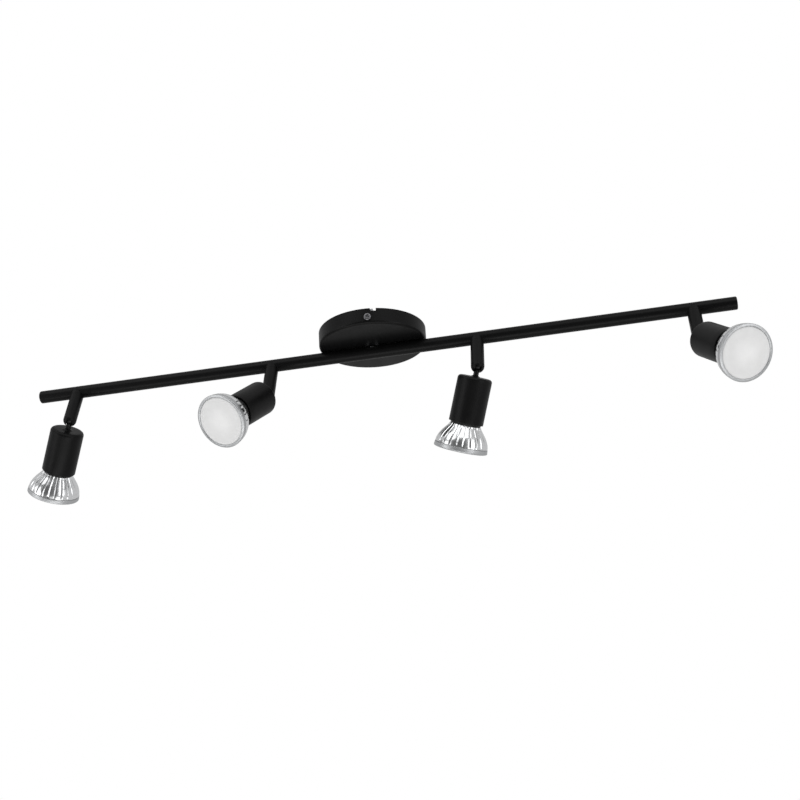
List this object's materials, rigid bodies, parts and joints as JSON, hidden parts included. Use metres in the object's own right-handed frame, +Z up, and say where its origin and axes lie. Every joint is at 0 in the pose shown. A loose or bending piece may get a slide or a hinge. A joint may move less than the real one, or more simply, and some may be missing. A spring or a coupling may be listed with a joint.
{
  "type": "ceiling spotlight bar",
  "caption": "Ceiling spotlight bar: a round canopy holds a straight tube with swivelling, tilting cylindrical heads, each with a reflector lamp.",
  "frame": {"origin": "centre of the canopy on the ceiling plane, on the bracket's upper face", "axes": "+X along the bar, +Y towards the back of the canopy, +Z up into the ceiling"},
  "size_m": [0.7065, 0.1429, 0.137],
  "materials": {
    "black_paint": "satin-matte black powder coat with a fine grain",
    "black_neck": "satin black, lightly polished by the joint",
    "dark_plated": "dark nickel plating",
    "zinc_steel": "bright zinc plating",
    "zinc_screw": "dark zinc plating",
    "brass_parts": "turned brass",
    "terminal_plastic": "natural nylon",
    "wire_sleeve": "soft sleeving",
    "socket_ceramic": "unglazed ceramic",
    "silvered_glass": "pressed glass with a silvered, fluted bowl",
    "frosted_cover": "frosted",
    "lamp_base_white": "white lamp base"
  },
  "bodies": {
    "bar": {"canopy_cup": "black_paint", "ceiling_bracket": "zinc_steel", "canopy_screws": "zinc_screw", "earth_screw": "brass_parts", "terminal_block": "terminal_plastic", "terminal_screws": "brass_parts", "supply_wires": "wire_sleeve", "bar_tube": "black_paint", "end_caps": "black_paint", "bar_collar": "dark_plated", "canopy_nipple": "zinc_steel", "nipple_nut": "zinc_steel", "bar_wires": "wire_sleeve", "saddle_washers": "black_paint", "swivel_nipples": "zinc_steel", "swivel_nuts": "zinc_steel"},
    "arm_1": {"arm_1": "black_paint", "tilt_pins_1": "zinc_steel"},
    "head_1": {"ball_neck_1": "black_neck", "holder_1": "black_paint", "neck_nut_1": "zinc_steel", "socket_1": "socket_ceramic", "socket_leads_1": "wire_sleeve"},
    "lamp_1": {"lamp_reflector_1": "silvered_glass", "lamp_cover_1": "frosted_cover", "lamp_base_1": "lamp_base_white", "lamp_pins_1": "brass_parts"},
    "arm_2": {"arm_2": "black_paint", "tilt_pins_2": "zinc_steel"},
    "head_2": {"ball_neck_2": "black_neck", "holder_2": "black_paint", "neck_nut_2": "zinc_steel", "socket_2": "socket_ceramic", "socket_leads_2": "wire_sleeve"},
    "lamp_2": {"lamp_reflector_2": "silvered_glass", "lamp_cover_2": "frosted_cover", "lamp_base_2": "lamp_base_white", "lamp_pins_2": "brass_parts"},
    "arm_3": {"arm_3": "black_paint", "tilt_pins_3": "zinc_steel"},
    "head_3": {"ball_neck_3": "black_neck", "holder_3": "black_paint", "neck_nut_3": "zinc_steel", "socket_3": "socket_ceramic", "socket_leads_3": "wire_sleeve"},
    "lamp_3": {"lamp_reflector_3": "silvered_glass", "lamp_cover_3": "frosted_cover", "lamp_base_3": "lamp_base_white", "lamp_pins_3": "brass_parts"},
    "arm_4": {"arm_4": "black_paint", "tilt_pins_4": "zinc_steel"},
    "head_4": {"ball_neck_4": "black_neck", "holder_4": "black_paint", "neck_nut_4": "zinc_steel", "socket_4": "socket_ceramic", "socket_leads_4": "wire_sleeve"},
    "lamp_4": {"lamp_reflector_4": "silvered_glass", "lamp_cover_4": "frosted_cover", "lamp_base_4": "lamp_base_white", "lamp_pins_4": "brass_parts"}
  },
  "joints": [
    {"name": "arm_swivel_1", "type": "hinge", "parent": "bar", "child": "arm_1", "pos_m": [-0.2985, -0.01578, -0.05685], "axis": [0, 0.4067, 0.9135], "range_deg": [-23.5, 326.5]},
    {"name": "head_tilt_1", "type": "hinge", "parent": "arm_1", "child": "head_1", "pos_m": [-0.2985, -0.01578, -0.05685], "axis": [0.8788, 0.4359, -0.1941], "range_deg": [-78.3, 29.7]},
    {"name": "lamp_twist_1", "type": "hinge", "parent": "head_1", "child": "lamp_1", "pos_m": [-0.2985, -0.01578, -0.05685], "axis": [0.4145, -0.4959, 0.7631], "range_deg": [0, 20]},
    {"name": "arm_swivel_2", "type": "hinge", "parent": "bar", "child": "arm_2", "pos_m": [-0.0995, -0.01578, -0.05685], "axis": [0, 0.4067, 0.9135], "range_deg": [-135.1, 214.9]},
    {"name": "head_tilt_2", "type": "hinge", "parent": "arm_2", "child": "head_2", "pos_m": [-0.0995, -0.01578, -0.05685], "axis": [-0.7672, 0.586, -0.2609], "range_deg": [-51.8, 56.2]},
    {"name": "lamp_twist_2", "type": "hinge", "parent": "head_2", "child": "lamp_2", "pos_m": [-0.0995, -0.01578, -0.05685], "axis": [0.3568, 0.7279, 0.5856], "range_deg": [0, 20]},
    {"name": "arm_swivel_3", "type": "hinge", "parent": "bar", "child": "arm_3", "pos_m": [0.0995, -0.01578, -0.05685], "axis": [0, 0.4067, 0.9135], "range_deg": [-20.2, 329.8]},
    {"name": "head_tilt_3", "type": "hinge", "parent": "arm_3", "child": "head_3", "pos_m": [0.0995, -0.01578, -0.05685], "axis": [0.9048, 0.389, -0.1732], "range_deg": [-68.8, 39.2]},
    {"name": "lamp_twist_3", "type": "hinge", "parent": "head_3", "child": "lamp_3", "pos_m": [0.0995, -0.01578, -0.05685], "axis": [0.33, -0.3835, 0.8626], "range_deg": [0, 20]},
    {"name": "arm_swivel_4", "type": "hinge", "parent": "bar", "child": "arm_4", "pos_m": [0.2985, -0.01578, -0.05685], "axis": [0, 0.4067, 0.9135], "range_deg": [-219, 131]},
    {"name": "head_tilt_4", "type": "hinge", "parent": "arm_4", "child": "head_4", "pos_m": [0.2985, -0.01578, -0.05685], "axis": [-0.7193, -0.6346, 0.2825], "range_deg": [-53.5, 54.5]},
    {"name": "lamp_twist_4", "type": "hinge", "parent": "head_4", "child": "lamp_4", "pos_m": [0.2985, -0.01578, -0.05685], "axis": [-0.4034, 0.7127, 0.5738], "range_deg": [0, 20]}
  ]
}
